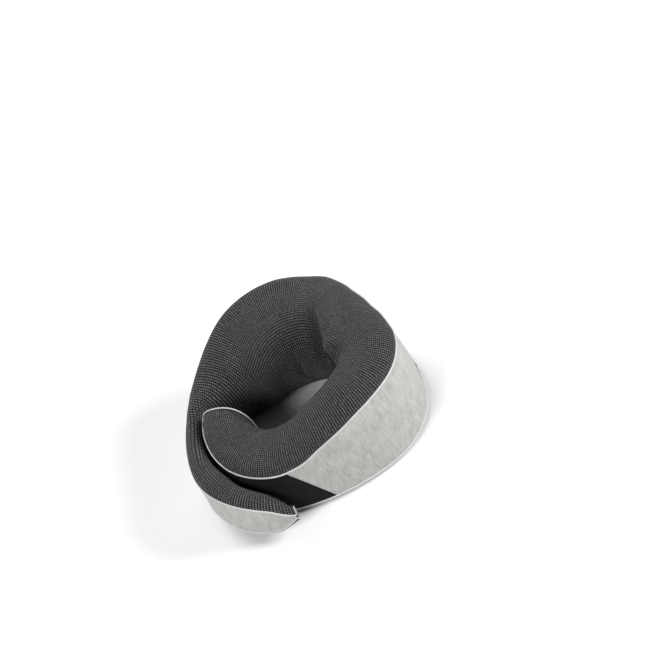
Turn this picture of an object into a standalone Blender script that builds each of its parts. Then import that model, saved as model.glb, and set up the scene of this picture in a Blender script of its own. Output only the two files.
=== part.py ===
"""Wrap-around memory-foam neck pillow, closed into a ring by its hook-and-loop end.

Metres, +Z out of the top, the pillow resting on its flat underside.  Every
piece follows one line on the floor: the outer edge of the pillow, measured
from the middle of its back.  Distances along that line are positive round
arm A (the blunt end, tucked inside) and negative round arm B (the thin end,
wrapped outside).  Lengths in the tables below are millimetres.
"""
import math

import bmesh
import bpy
from mathutils import Vector

for old in list(bpy.data.objects):
    bpy.data.objects.remove(old, do_unlink=True)

MM = 0.001

# --- outer edge, seen from above: (length, bend radius) from the middle of the back ---
BACK_RADIUS = 125.0
BACK_HALF = 115.0
ARM_A_BENDS = ((BACK_HALF, BACK_RADIUS), (94.0, 88.0), (110.0, 219.0), (150.0, 85.0))
ARM_B_BENDS = ((BACK_HALF, BACK_RADIUS), (60.0, 118.0), (174.0, 168.0), (134.0, 85.0))
ARM_A_LENGTH = sum(length for length, radius in ARM_A_BENDS)
ARM_B_LENGTH = sum(length for length, radius in ARM_B_BENDS)
BACK_MIDDLE = (2.2, 138.9)

# --- how the cross-section changes along the edge: (distance, size) ---
UPPER_RIM = ((-483, 31), (-455, 52), (-425, 63), (-390, 68), (-345, 68), (-300, 68),
             (-260, 72), (-200, 90), (-120, 106), (0, 115), (120, 120), (175, 118),
             (205, 113), (240, 101), (268, 90), (300, 74), (330, 69), (380, 69), (469, 78))
DEPTH = ((-483, 13), (-470, 23), (-443, 30), (-403, 31), (-363, 27), (-323, 20.5), (-285, 17),
         (-262, 22), (-235, 42), (-205, 64), (-175, 77), (-100, 82), (-30, 80), (30, 70),
         (60, 70), (95, 77), (150, 76), (330, 75), (400, 68), (469, 52))
CROWN = ((-483, 5), (-430, 6), (-350, 7), (-285, 8), (-230, 14), (-150, 18), (200, 18),
         (330, 16), (469, 14))
UNDERSIDE = ((-483, 19), (-472, 14), (-455, 8), (-420, 10), (-380, 14), (-330, 8), (-260, 0),
             (430, 0), (469, 3))
LOWER_RIM_RISE = 7.0
BAND_BULGE = ((-483, 0), (-330, 0), (-210, 4), (-130, 3), (-105, 0), (105, 0), (140, 3),
              (200, 6), (250, 3), (285, 0), (469, 0))
CROWN_APEX = 0.42
UNDERSIDE_ROUND = 11.0
INNER_SQUARENESS = 2.4
# height of the fullest place of the inner wall, as a share of the section's height
INNER_MIDDLE = ((-100, 0.45), (-10, 0.55), (50, 0.78), (95, 0.78), (150, 0.5), (200, 0.45))
# how far the top of the pillow leans inward of the outer edge, from LEAN_FROM up to LEAN_TO
TOP_LEAN = ((-30, 0), (0, 4.5), (25, 8.5), (55, 9), (75, 6), (95, 2.5), (110, -1), (130, -3.5),
            (155, -5), (200, -3), (250, -2), (300, 0))
LEAN_FROM = 30.0
LEAN_TO = 115.0
LEAN_POWER = 1.5

# --- layers, measured inward from the outside of the cover ---
COVER_THICK = 1.5
LINER_DEPTH = 2.4
LINER_THICK = 0.8
FOAM_DEPTH = 3.8
PIPING_RADIUS = 1.3
CORD_CORNER = 1.2
SEAM_CLEAR = 2.2
PATCH_CLEAR = 0.7
PATCH_THICK = 1.4

# --- where the cover and foam bend, and the small gap between the parts there ---
BEND_A = 115.0
BEND_B = -115.0
PEEL_B = -300.0
BEND_GAP = 0.4
AXIS_CLEAR = 2.6
STATION = 21.0
CROWN_STEPS = 3
INNER_STEPS = 5
END_CAP_THICK = 1.6
END_CAP_DOME = 3.0
END_CAP_RINGS = (1.0, 0.7, 0.35)
BAND_ROWS = 5
OUTSIDE_ROWS = 4

# --- loop patch on arm A: its slanted start, and its end short of the tip ---
LOOP_START_TOP = 316.0
LOOP_START_BOTTOM = 280.0
LOOP_ROWS = 6
LOOP_COLUMNS = 19
# --- hook patch inside the thin end ---
HOOK_RANGE = (-474.0, -402.0)

# --- zip along the lower edge of the band, round the back ---
ZIP_HALF = 74.0
ZIP_HEIGHT = 17.0
TAPE_WIDTH = 5.5
COIL_WIDTH = 3.4
ZIP_GAP = 0.45
NOTCH_HALF = 80.0
NOTCH_STEP = 1.0
TAPE_END_CLEAR = 0.6
COIL_PROUD = 0.4
STOP_PROUD = 1.2
STOP_LENGTH = 3.0
SLIDER_AT = -68.5
SLIDER_SIZE = (9.0, 8.0, 2.4)
LUG_THICK = 1.1
LUG_HALF = 1.6
PIN_RADIUS = 0.8
EYE_RADII = (1.2, 2.1)
EYE_WIDTH = 2.2
PULL_LENGTH = 22.0
PULL_WIDTH = 6.0
PULL_THICK = 1.4
PULL_NECK = 2.9
JOIN_OVERLAP = 0.4

COLOURS = {
    "foam": ((0.80, 0.74, 0.58, 1.0), 0.9, 0.0),
    "liner": ((0.82, 0.82, 0.80, 1.0), 0.95, 0.0),
    "knit": ((0.055, 0.056, 0.060, 1.0), 0.95, 0.0),
    "band": ((0.60, 0.60, 0.61, 1.0), 0.9, 0.0),
    "piping": ((0.70, 0.70, 0.70, 1.0), 0.7, 0.0),
    "loop": ((0.012, 0.012, 0.013, 1.0), 0.98, 0.0),
    "hook": ((0.015, 0.015, 0.016, 1.0), 0.6, 0.0),
    "tape": ((0.42, 0.42, 0.43, 1.0), 0.85, 0.0),
    "coil": ((0.40, 0.40, 0.41, 1.0), 0.45, 0.0),
    "zip_metal": ((0.45, 0.45, 0.46, 1.0), 0.35, 1.0),
}


# ---------------------------------------------------------------- the line everything follows
def edge_point(s):
    """Point on the outer edge at distance s, with the unit direction of rising s."""
    x, y = BACK_MIDDLE
    heading = 0.0
    side = 1.0 if s >= 0 else -1.0
    left = abs(s)
    for length, radius in (ARM_A_BENDS if s >= 0 else ARM_B_BENDS):
        step = min(left, length)
        centre_x = x + radius * math.sin(heading)
        centre_y = y - radius * math.cos(heading)
        heading -= side * step / radius
        x = centre_x - radius * math.sin(heading)
        y = centre_y + radius * math.cos(heading)
        left -= step
        if left <= 0:
            break
    along = (math.cos(heading), math.sin(heading))
    return x + side * left * along[0], y + side * left * along[1], along


def place(s, depth, height, ahead=0.0):
    """Point at a depth in from the outer edge; ahead shifts it along the edge's direction."""
    x, y, (ax, ay) = edge_point(s)
    rise = max(0.0, (height - LEAN_FROM) / (LEAN_TO - LEAN_FROM))
    depth += profile(TOP_LEAN, s) * rise ** LEAN_POWER
    return Vector((x + ay * depth + ax * ahead, y - ax * depth + ay * ahead, height)) * MM


def profile(table, s):
    """Smooth value from a (distance, size) table, never overshooting its points."""
    if s <= table[0][0]:
        return float(table[0][1])
    if s >= table[-1][0]:
        return float(table[-1][1])
    i = max(k for k in range(len(table) - 1) if table[k][0] <= s)

    def slope(k):
        if k == 0 or k == len(table) - 1:
            return 0.0
        before = (table[k][1] - table[k - 1][1]) / (table[k][0] - table[k - 1][0])
        after = (table[k + 1][1] - table[k][1]) / (table[k + 1][0] - table[k][0])
        return 0.0 if before * after <= 0 else 2 * before * after / (before + after)

    span = table[i + 1][0] - table[i][0]
    t = (s - table[i][0]) / span
    return ((2 * t ** 3 - 3 * t ** 2 + 1) * table[i][1] + (t ** 3 - 2 * t ** 2 + t) * slope(i) * span
            + (3 * t ** 2 - 2 * t ** 3) * table[i + 1][1] + (t ** 3 - t ** 2) * slope(i + 1) * span)


def upper_rim(s):
    return profile(UPPER_RIM, s)


def lower_rim(s):
    return profile(UNDERSIDE, s) + LOWER_RIM_RISE


# ---------------------------------------------------------------- cross-section
def inner_curve(s, inset, trim=0.0):
    """(depth, height) points from the upper rim over the crown, down the inside and under.

    inset moves the curve into the pillow; trim leaves both ends that far from the rims.
    """
    top_z, low_z, floor_z = upper_rim(s), lower_rim(s), profile(UNDERSIDE, s)
    crown = profile(CROWN, s)
    depth = profile(DEPTH, s)
    apex = CROWN_APEX * depth
    middle_z = floor_z + profile(INNER_MIDDLE, s) * (top_z + crown - floor_z)
    rise = top_z + crown - middle_z - inset
    drop = middle_z - floor_z - inset
    under = min(UNDERSIDE_ROUND, 0.8 * apex)
    power = 2.0 / INNER_SQUARENESS
    quarter = 0.5 * math.pi
    start = math.asin(min(1.0, trim / crown))
    finish = math.asin(min(1.0, trim / LOWER_RIM_RISE))
    points = []
    for k in range(CROWN_STEPS):
        a = start + (quarter - start) * k / CROWN_STEPS
        points.append((apex - (apex - inset) * math.cos(a), top_z + (crown - inset) * math.sin(a)))
    for k in range(INNER_STEPS):
        a = quarter * k / INNER_STEPS
        points.append((apex + (depth - apex - inset) * math.sin(a) ** power,
                       middle_z + rise * math.cos(a) ** power))
    for k in range(INNER_STEPS):
        a = quarter * (1 - k / INNER_STEPS)
        points.append((apex + (depth - apex - inset) * math.sin(a) ** power,
                       middle_z - drop * math.cos(a) ** power))
    points.append((apex, floor_z + inset))
    for k in range(CROWN_STEPS):
        a = quarter + (finish - quarter) * k / (CROWN_STEPS - 1)
        points.append((under - (under - inset) * math.cos(a),
                       low_z - (LOWER_RIM_RISE - inset) * math.sin(a)))
    return points


def bulge(s, height):
    """How far the band swells outward at a height."""
    share = (height - lower_rim(s)) / (upper_rim(s) - lower_rim(s))
    return profile(BAND_BULGE, s) * math.sin(math.pi * share ** 0.8) if 0 < share < 1 else 0.0


def outer_line(s, inset, low, high, count):
    """(depth, height) points up the outside, between two heights."""
    heights = [low + (high - low) * k / (count - 1) for k in range(count)]
    return [(inset - bulge(s, z), z) for z in heights]


def whole_section(s, inset):
    """Closed section: inner curve, then back up the outside."""
    curve = inner_curve(s, inset)
    low, high = lower_rim(s), upper_rim(s)
    outside = outer_line(s, inset, low, high, OUTSIDE_ROWS)[1:-1]
    return curve + outside


def stations(first, last):
    """Evenly spaced distances along the edge, about STATION apart."""
    count = max(1, round(abs(last - first) / STATION))
    return [first + (last - first) * k / count for k in range(count + 1)]


def rows(distances, section, start=0.0, stop=0.0):
    """Grid of points; start and stop draw the first and last rows back from their planes."""
    way = math.copysign(1.0, distances[-1] - distances[0])
    shifts = [way * start] + [0.0] * (len(distances) - 2) + [-way * stop]
    return [[place(s, depth, height, shift) for depth, height in section(s)]
            for s, shift in zip(distances, shifts)]


# ---------------------------------------------------------------- making solids
def material(slot):
    found = bpy.data.materials.get(slot)
    if found:
        return found
    colour, roughness, metallic = COLOURS[slot]
    made = bpy.data.materials.new(slot)
    made.use_nodes = True
    shader = made.node_tree.nodes["Principled BSDF"]
    shader.inputs["Base Color"].default_value = colour
    shader.inputs["Roughness"].default_value = roughness
    shader.inputs["Metallic"].default_value = metallic
    made.diffuse_color = colour
    return made


def finish(name, mesh_data, slot, smooth=True, origin=None):
    """Turn a bmesh into a named object, its origin at the given point."""
    bmesh.ops.recalc_face_normals(mesh_data, faces=mesh_data.faces)
    if origin:
        bmesh.ops.translate(mesh_data, verts=mesh_data.verts, vec=-origin)
    mesh = bpy.data.meshes.new(name)
    mesh_data.to_mesh(mesh)
    mesh_data.free()
    obj = bpy.data.objects.new(name, mesh)
    if origin:
        obj.location = origin
    bpy.context.scene.collection.objects.link(obj)
    mesh.materials.append(material(slot))
    for face in mesh.polygons:
        face.use_smooth = smooth
    return obj


def solid_loft(name, loops, slot):
    """Solid through closed loops, flat at both ends."""
    bm = bmesh.new()
    rings = [[bm.verts.new(p) for p in loop] for loop in loops]
    count = len(rings[0])
    for ring, following in zip(rings, rings[1:]):
        for k in range(count):
            n = (k + 1) % count
            bm.faces.new((ring[k], ring[n], following[n], following[k]))
    bm.faces.new(rings[0])
    bm.faces.new(rings[-1])
    return finish(name, bm, slot)


def sheet(name, front, back, slot, closed=False, cap_last=False):
    """Thin solid between two matching grids of points.

    closed joins the last column to the first; cap_last shuts the last row of each face.
    """
    bm = bmesh.new()
    f = [[bm.verts.new(p) for p in row] for row in front]
    b = [[bm.verts.new(p) for p in row] for row in back]
    count = len(f[0])
    columns = [(k, (k + 1) % count) for k in range(count if closed else count - 1)]
    for r in range(len(f) - 1):
        for k, n in columns:
            bm.faces.new((f[r][k], f[r][n], f[r + 1][n], f[r + 1][k]))
            bm.faces.new((b[r][k], b[r + 1][k], b[r + 1][n], b[r][n]))
        if not closed:
            bm.faces.new((f[r][0], f[r + 1][0], b[r + 1][0], b[r][0]))
            bm.faces.new((f[r][-1], b[r][-1], b[r + 1][-1], f[r + 1][-1]))
    for k, n in columns:
        bm.faces.new((f[0][k], b[0][k], b[0][n], f[0][n]))
        if not cap_last:
            bm.faces.new((f[-1][k], f[-1][n], b[-1][n], b[-1][k]))
    if cap_last:
        bm.faces.new(f[-1])
        bm.faces.new(b[-1])
    return finish(name, bm, slot)


def cord(name, points, radius, slot):
    """Round cord along points, with flat filled ends."""
    curve = bpy.data.curves.new(name, "CURVE")
    curve.dimensions = "3D"
    curve.bevel_depth = radius * MM
    curve.bevel_resolution = 1
    curve.use_fill_caps = True
    line = curve.splines.new("POLY")
    line.points.add(len(points) - 1)
    for target, p in zip(line.points, points):
        target.co = (p.x, p.y, p.z, 1.0)
    line.use_smooth = True
    obj = bpy.data.objects.new(name, curve)
    bpy.context.scene.collection.objects.link(obj)
    curve.materials.append(material(slot))
    return obj


# ---------------------------------------------------------------- the pillow's layers, part by part
def layers(part, first, last, closed_end):
    """Foam, liner and knit panel of one part, from its bend to its far end."""
    half_gap = 0.5 * BEND_GAP
    along = stations(first, last)

    def grid(section, clear):
        return rows(along, section, half_gap, clear if closed_end else half_gap)

    liner_inside = LINER_DEPTH + LINER_THICK
    solid_loft("foam_" + part, grid(lambda s: whole_section(s, FOAM_DEPTH), FOAM_DEPTH), "foam")
    sheet("inner_liner_" + part, grid(lambda s: whole_section(s, LINER_DEPTH), LINER_DEPTH),
          grid(lambda s: whole_section(s, liner_inside), liner_inside),
          "liner", closed=True, cap_last=closed_end)
    sheet("knit_panel_" + part, grid(lambda s: inner_curve(s, 0.0, SEAM_CLEAR), SEAM_CLEAR),
          grid(lambda s: inner_curve(s, COVER_THICK, SEAM_CLEAR), SEAM_CLEAR), "knit")
    return along


def band(part, distances, low_edge, stop=0.5 * BEND_GAP):
    """Outer band between the two piped edges."""
    def strip(inset):
        return rows(distances,
                    lambda s: outer_line(s, inset, low_edge(s), upper_rim(s) - SEAM_CLEAR, BAND_ROWS),
                    0.5 * BEND_GAP, stop)
    return sheet("outer_band_" + part, strip(0.0), strip(COVER_THICK), "band")


def band_low(s):
    return lower_rim(s) + SEAM_CLEAR


def rim_points(first, last, height):
    return [place(s, 0.0, height(s)) for s in stations(first, last)]


def tip_piping(name, first, last):
    """One cord: out along the upper rim, round the end of the arm, back along the lower rim."""
    turn = last - math.copysign(CORD_CORNER, last)
    curve = [(0.0, upper_rim(last) + CORD_CORNER)] + inner_curve(last, 0.0)[1:-1]
    curve.append((0.0, lower_rim(last) - CORD_CORNER))
    around = [place(last, depth, height) for depth, height in curve]
    points = rim_points(first, turn, upper_rim) + around + rim_points(turn, first, lower_rim)
    return cord(name, points, PIPING_RADIUS, "piping")


def end_cap(name, last, side, slot):
    """Slightly domed panel closing the end of an arm."""
    curve = inner_curve(last, SEAM_CLEAR)
    outside = outer_line(last, 0.0, band_low(last), upper_rim(last) - SEAM_CLEAR, BAND_ROWS)
    outline = curve + outside
    mid_depth = sum(p[0] for p in outline) / len(outline)
    mid_height = sum(p[1] for p in outline) / len(outline)

    def dome(shift):
        grid = []
        for share in END_CAP_RINGS:
            ahead = side * (shift + END_CAP_DOME * (1 - share ** 2))
            grid.append([place(last, mid_depth + (d - mid_depth) * share,
                               mid_height + (z - mid_height) * share, ahead) for d, z in outline])
        return grid

    return sheet(name, dome(0.5 * END_CAP_THICK), dome(-0.5 * END_CAP_THICK), slot,
                 closed=True, cap_last=True)


# back
layers("back", BEND_B, BEND_A, False)


def back_band_low(s):
    """The band stops above the zip and runs down to the lower piping beside it."""
    over_zip = ZIP_HEIGHT + 0.5 * COIL_WIDTH + TAPE_WIDTH + 2 * ZIP_GAP
    return over_zip if abs(s) <= NOTCH_HALF else band_low(s)


band("back", stations(BEND_B, -NOTCH_HALF - NOTCH_STEP) + stations(-NOTCH_HALF, NOTCH_HALF)
     + stations(NOTCH_HALF + NOTCH_STEP, BEND_A), back_band_low)
edge = BEND_A - 0.5 * BEND_GAP
cord("piping_top_back", rim_points(-edge, edge, upper_rim), PIPING_RADIUS, "piping")
cord("piping_bottom_back", rim_points(-edge, edge, lower_rim), PIPING_RADIUS, "piping")

# arm A: blunt end, tucked inside, with the loop patch
band("arm_a", layers("arm_a", BEND_A, ARM_A_LENGTH, True), band_low, SEAM_CLEAR)
tip_piping("piping_arm_a", BEND_A + 0.5 * BEND_GAP, ARM_A_LENGTH)
end_cap("end_cap_arm_a", ARM_A_LENGTH, 1.0, "loop")


def loop_face(inset):
    grid = []
    for k in range(LOOP_ROWS):
        share = k / (LOOP_ROWS - 1)
        begin = LOOP_START_BOTTOM + (LOOP_START_TOP - LOOP_START_BOTTOM) * share
        reach = ARM_A_LENGTH - SEAM_CLEAR - begin
        row = []
        for s in [begin + reach * j / (LOOP_COLUMNS - 1) for j in range(LOOP_COLUMNS)]:
            low, high = band_low(s), upper_rim(s) - SEAM_CLEAR
            z = low + (high - low) * share
            row.append(place(s, inset - bulge(s, z), z))
        grid.append(row)
    return grid


sheet("loop_patch", loop_face(-PATCH_CLEAR - PATCH_THICK), loop_face(-PATCH_CLEAR), "loop")

# arm B, then its thin end
band("arm_b", layers("arm_b", BEND_B, PEEL_B, False), band_low)
near, far = BEND_B - 0.5 * BEND_GAP, PEEL_B + 0.5 * BEND_GAP
cord("piping_top_arm_b", rim_points(near, far, upper_rim), PIPING_RADIUS, "piping")
cord("piping_bottom_arm_b", rim_points(near, far, lower_rim), PIPING_RADIUS, "piping")

along_end = layers("end_b", PEEL_B, -ARM_B_LENGTH, True)
band("end_b", along_end, band_low, SEAM_CLEAR)
tip_piping("piping_end_b", PEEL_B - 0.5 * BEND_GAP, -ARM_B_LENGTH)
end_cap("end_cap_end_b", -ARM_B_LENGTH, -1.0, "knit")


def hook_face(inset):
    held = [s for s in along_end if HOOK_RANGE[0] <= s <= HOOK_RANGE[1]]
    first, last = CROWN_STEPS + 2, CROWN_STEPS + 2 * INNER_STEPS - 2
    return rows(held, lambda s: inner_curve(s, inset)[first:last])


sheet("hook_patch", hook_face(-PATCH_CLEAR - PATCH_THICK), hook_face(-PATCH_CLEAR), "hook")


# zip: two tapes, the coil between them, a stop at each end
def zip_strip(name, low, high, first, last, slot, proud=0.0):
    def face(inset):
        return rows(stations(first, last), lambda s: [(inset, low), (inset, high)])
    return sheet(name, face(-proud), face(COVER_THICK), slot)


coil_low = ZIP_HEIGHT - 0.5 * COIL_WIDTH
coil_high = ZIP_HEIGHT + 0.5 * COIL_WIDTH
tape_half = NOTCH_HALF - TAPE_END_CLEAR
zip_strip("zip_tape_lower", coil_low - ZIP_GAP - TAPE_WIDTH, coil_low - ZIP_GAP,
          -tape_half, tape_half, "tape")
zip_strip("zip_tape_upper", coil_high + ZIP_GAP, coil_high + ZIP_GAP + TAPE_WIDTH,
          -tape_half, tape_half, "tape")
zip_strip("zip_coil", coil_low, coil_high, -ZIP_HALF, ZIP_HALF, "coil", COIL_PROUD)
for name, side in (("zip_stop_closed", -1.0), ("zip_stop_open", 1.0)):
    near = side * (ZIP_HALF + ZIP_GAP)
    zip_strip(name, coil_low, coil_high, near, near + side * STOP_LENGTH, "zip_metal", STOP_PROUD)

# zip slider: plate, two lugs and the pin the pull swings on, turning about the back's own centre
BACK_CENTRE = Vector((BACK_MIDDLE[0], BACK_MIDDLE[1] - BACK_RADIUS, 0.0)) * MM
slider_depth = -COIL_PROUD - ZIP_GAP
slider_angle = -SLIDER_AT / BACK_RADIUS


def slider_point(across, out, up):
    """Point in the slider's own square frame: along the zip, out of the band, up."""
    radius = BACK_RADIUS - slider_depth + out
    c, n = math.cos(slider_angle), math.sin(slider_angle)
    return Vector((BACK_CENTRE.x / MM + across * c - radius * n,
                   BACK_CENTRE.y / MM + across * n + radius * c, ZIP_HEIGHT + up)) * MM


def block(name, low, high, slot):
    """Box between two corners of the slider's frame."""
    bm = bmesh.new()
    corners = [bm.verts.new(slider_point(a, o, u)) for a in (low[0], high[0])
               for o in (low[1], high[1]) for u in (low[2], high[2])]
    for face in ((0, 1, 3, 2), (4, 6, 7, 5), (0, 4, 5, 1), (2, 3, 7, 6), (0, 2, 6, 4), (1, 5, 7, 3)):
        bm.faces.new([corners[i] for i in face])
    return finish(name, bm, slot, smooth=False)


def circle(radius, out, up, sides=20):
    """Ring of points round a vertical line of the slider's frame."""
    return [slider_point(radius * math.cos(2 * math.pi * k / sides),
                         out + radius * math.sin(2 * math.pi * k / sides), up) for k in range(sides)]


def union(target, others):
    """Join solids into one body."""
    for other in others:
        other.hide_render = True
        other.display_type = "WIRE"
        join = target.modifiers.new("join_" + other.name, "BOOLEAN")
        join.operation = "UNION"
        join.solver = "EXACT"
        join.object = other


length, width, thick = SLIDER_SIZE
eye_inner, eye_outer = EYE_RADII
pin_out = thick + eye_outer + ZIP_GAP
lug_low = 0.5 * EYE_WIDTH + ZIP_GAP
lug_high = lug_low + LUG_THICK
plate = block("zip_slider", (-0.5 * length, 0.0, -0.5 * width), (0.5 * length, thick, 0.5 * width),
              "zip_metal")
lugs = [block("lug_" + word, (-LUG_HALF, thick - JOIN_OVERLAP, min(low, high)),
              (LUG_HALF, pin_out + LUG_HALF, max(low, high)), "zip_metal")
        for word, low, high in (("high", lug_low, lug_high), ("low", -lug_low, -lug_high))]
pin = solid_loft("slider_pin", [circle(PIN_RADIUS, pin_out, -lug_low - JOIN_OVERLAP),
                                circle(PIN_RADIUS, pin_out, lug_low + JOIN_OVERLAP)], "zip_metal")
union(plate, lugs + [pin])

# zip pull: an eye round the pin and a flat tab lying back over the closed zip
half_eye = 0.5 * EYE_WIDTH
eye = sheet("zip_pull", [circle(eye_outer, pin_out, -half_eye), circle(eye_outer, pin_out, half_eye)],
            [circle(eye_inner, pin_out, -half_eye), circle(eye_inner, pin_out, half_eye)],
            "zip_metal", closed=True)
half_tab = 0.5 * PULL_THICK
neck = block("pull_neck", (0.5 * (eye_inner + eye_outer), pin_out - half_tab, -half_eye),
             (PULL_NECK + JOIN_OVERLAP, pin_out + half_tab, half_eye), "zip_metal")
tab = block("pull_tab", (PULL_NECK, pin_out - half_tab, -0.5 * PULL_WIDTH),
            (PULL_LENGTH, pin_out + half_tab, 0.5 * PULL_WIDTH), "zip_metal")
union(eye, [neck, tab])


# ---------------------------------------------------------------- what turns about what
def axis_empty(name, point, parent=None):
    empty = bpy.data.objects.new(name, None)
    bpy.context.scene.collection.objects.link(empty)
    empty.location = point
    bpy.context.view_layer.update()
    attach(empty, parent)
    return empty


def attach(obj, parent):
    """Parent without moving."""
    if parent:
        obj.parent = parent
        obj.matrix_parent_inverse = parent.matrix_world.inverted()
        bpy.context.view_layer.update()


bend_a = axis_empty("bend_a_axis", place(BEND_A, -AXIS_CLEAR, 0.0))
bend_b = axis_empty("bend_b_axis", place(BEND_B, -AXIS_CLEAR, 0.0))
peel_b = axis_empty("peel_b_axis", place(PEEL_B, -AXIS_CLEAR, 0.0), bend_b)
travel = axis_empty("zip_travel_axis", BACK_CENTRE)
swing = axis_empty("zip_pull_axis", slider_point(0.0, pin_out, 0.0), travel)
for obj in list(bpy.data.objects):
    for ending, parent in (("arm_a", bend_a), ("loop_patch", bend_a), ("arm_b", bend_b),
                           ("end_b", peel_b), ("hook_patch", peel_b)):
        if obj.type != "EMPTY" and obj.name.endswith(ending):
            attach(obj, parent)
for obj in [plate, pin] + lugs:
    attach(obj, travel)
for obj in (eye, neck, tab):
    attach(obj, swing)
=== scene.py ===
"""Wrap-around neck pillow: fabrics, seams, zip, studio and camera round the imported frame.

Everything follows the pillow's outer edge line, as the CAD does: s is the
distance along it in millimetres from the middle of the back, positive round
arm A and negative round arm B; depth runs inward from it and height up.
"""
import math

import bmesh
import bpy
import numpy as np
from mathutils import Matrix, Vector


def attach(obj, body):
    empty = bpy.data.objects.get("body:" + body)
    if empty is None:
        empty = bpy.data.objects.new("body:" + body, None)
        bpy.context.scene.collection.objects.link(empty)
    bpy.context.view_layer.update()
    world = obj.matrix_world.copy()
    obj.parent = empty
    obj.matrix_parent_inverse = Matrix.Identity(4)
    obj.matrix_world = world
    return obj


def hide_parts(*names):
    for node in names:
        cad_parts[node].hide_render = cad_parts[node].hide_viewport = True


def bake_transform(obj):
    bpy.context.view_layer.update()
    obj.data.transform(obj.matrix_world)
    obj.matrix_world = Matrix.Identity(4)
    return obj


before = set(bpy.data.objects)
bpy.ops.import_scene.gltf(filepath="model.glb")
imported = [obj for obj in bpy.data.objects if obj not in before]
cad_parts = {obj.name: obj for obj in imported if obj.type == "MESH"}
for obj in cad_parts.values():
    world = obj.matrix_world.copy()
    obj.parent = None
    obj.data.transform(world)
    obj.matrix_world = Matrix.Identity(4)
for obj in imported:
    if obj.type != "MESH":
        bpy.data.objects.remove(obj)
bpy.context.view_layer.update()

MM = 0.001

# ------------------------------------------------------------------ the pillow's own dimensions, mm
ARM_A_BENDS = ((115.0, 125.0), (94.0, 88.0), (110.0, 219.0), (150.0, 85.0))
ARM_B_BENDS = ((115.0, 125.0), (60.0, 118.0), (174.0, 168.0), (134.0, 85.0))
TIP_A = sum(length for length, radius in ARM_A_BENDS)
TIP_B = -sum(length for length, radius in ARM_B_BENDS)
BACK_RADIUS = 125.0
BACK_MIDDLE = (2.2, 138.9)
UPPER_RIM = ((-483, 31), (-455, 52), (-425, 63), (-390, 68), (-345, 68), (-300, 68),
             (-260, 72), (-200, 90), (-120, 106), (0, 115), (120, 120), (175, 118),
             (205, 113), (240, 101), (268, 90), (300, 74), (330, 69), (380, 69), (469, 78))
DEPTH = ((-483, 13), (-470, 23), (-443, 30), (-403, 31), (-363, 27), (-323, 20.5), (-285, 17),
         (-262, 22), (-235, 42), (-205, 64), (-175, 77), (-100, 82), (-30, 80), (30, 70),
         (60, 70), (95, 77), (150, 76), (330, 75), (400, 68), (469, 52))
CROWN = ((-483, 5), (-430, 6), (-350, 7), (-285, 8), (-230, 14), (-150, 18), (200, 18),
         (330, 16), (469, 14))
UNDERSIDE = ((-483, 19), (-472, 14), (-455, 8), (-420, 10), (-380, 14), (-330, 8), (-260, 0),
             (430, 0), (469, 3))
LOWER_RIM_RISE = 7.0
BAND_BULGE = ((-483, 0), (-330, 0), (-210, 4), (-130, 3), (-105, 0), (105, 0), (140, 3),
              (200, 6), (250, 3), (285, 0), (469, 0))
CROWN_APEX = 0.42
UNDERSIDE_ROUND = 11.0
INNER_SQUARENESS = 2.4
INNER_MIDDLE = ((-100, 0.45), (-10, 0.55), (50, 0.78), (95, 0.78), (150, 0.5), (200, 0.45))
TOP_LEAN = ((-30, 0), (0, 4.5), (25, 8.5), (55, 9), (75, 6), (95, 2.5), (110, -1), (130, -3.5),
            (155, -5), (200, -3), (250, -2), (300, 0))
LEAN_FROM, LEAN_TO, LEAN_POWER = 30.0, 115.0, 1.5
BEND_A, BEND_B, PEEL_B, AXIS_CLEAR = 115.0, -115.0, -300.0, 2.6
LOOP_START_TOP, LOOP_START_BOTTOM = 316.0, 280.0
ZIP_HALF, ZIP_HEIGHT, NOTCH_HALF = 74.0, 17.0, 80.0
HOOK_RANGE = (-474.0, -402.0)

# ------------------------------------------------------------------ the fabric model
STEP = 5.0                # spacing of the simulated mesh along the edge
KNIT_COLUMNS = 53         # points from rim to rim over the crown and the inside
BAND_COLUMNS = 19         # points up the outer band
EDGE_TUCK = 1.0           # how far the fabrics stop short of the piping's middle
COVER_THICK = 1.3
SLACK = 0.8               # the simulation starts this much smaller
SWELL_CAP = 5.0
PRESSURE = 4.0
CLOTH_FRAMES = 20
# where the thin end and arm A lie against each other (share pressed flat, along the edge)
THIN_END_PRESSED = ((-275, 1.0), (-240, 0.0))
ARM_A_PRESSED = ((300, 0.0), (340, 1.0))
PRESSED_FROM, PRESSED_RAMP = 6.0, 8.0           # and how far from the thin end's upper rim
PIPING_RADIUS, THIN_PIPING_RADIUS = 1.15, 0.95
TIP_PIPING_SHARES = {"a2": 0.68, "b2": 0.45}    # how thin the cord gets, turned in round a tip
SPLIT_A, SPLIT_B = 290.0, -235.0                # where the cover is cut into pieces
END_GAP = 0.8                                   # the fabrics stop this far short of a tip
BEFORE_BEND, AFTER_BEND_A, AFTER_BEND_B = 15.0, 60.0, 70.0  # most length that a bend takes up
BEFORE_PEEL, AFTER_PEEL = 12.0, 35.0
DASH_PITCH = 3.0                                # spacing of the knit's dashes along a line
ROW_PITCH = ((0, 2.2), (45, 2.2), (85, 3.4), (400, 3.4))    # of its lines, by way from the rim
SQUEEZE_REACH = 8                               # grid rows averaged on each side for the pattern
TIP_TURN, TIP_CORD_BACK = 1.8, 0.1  # short of a tip: where the cords turn in, and the cord round it

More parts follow.
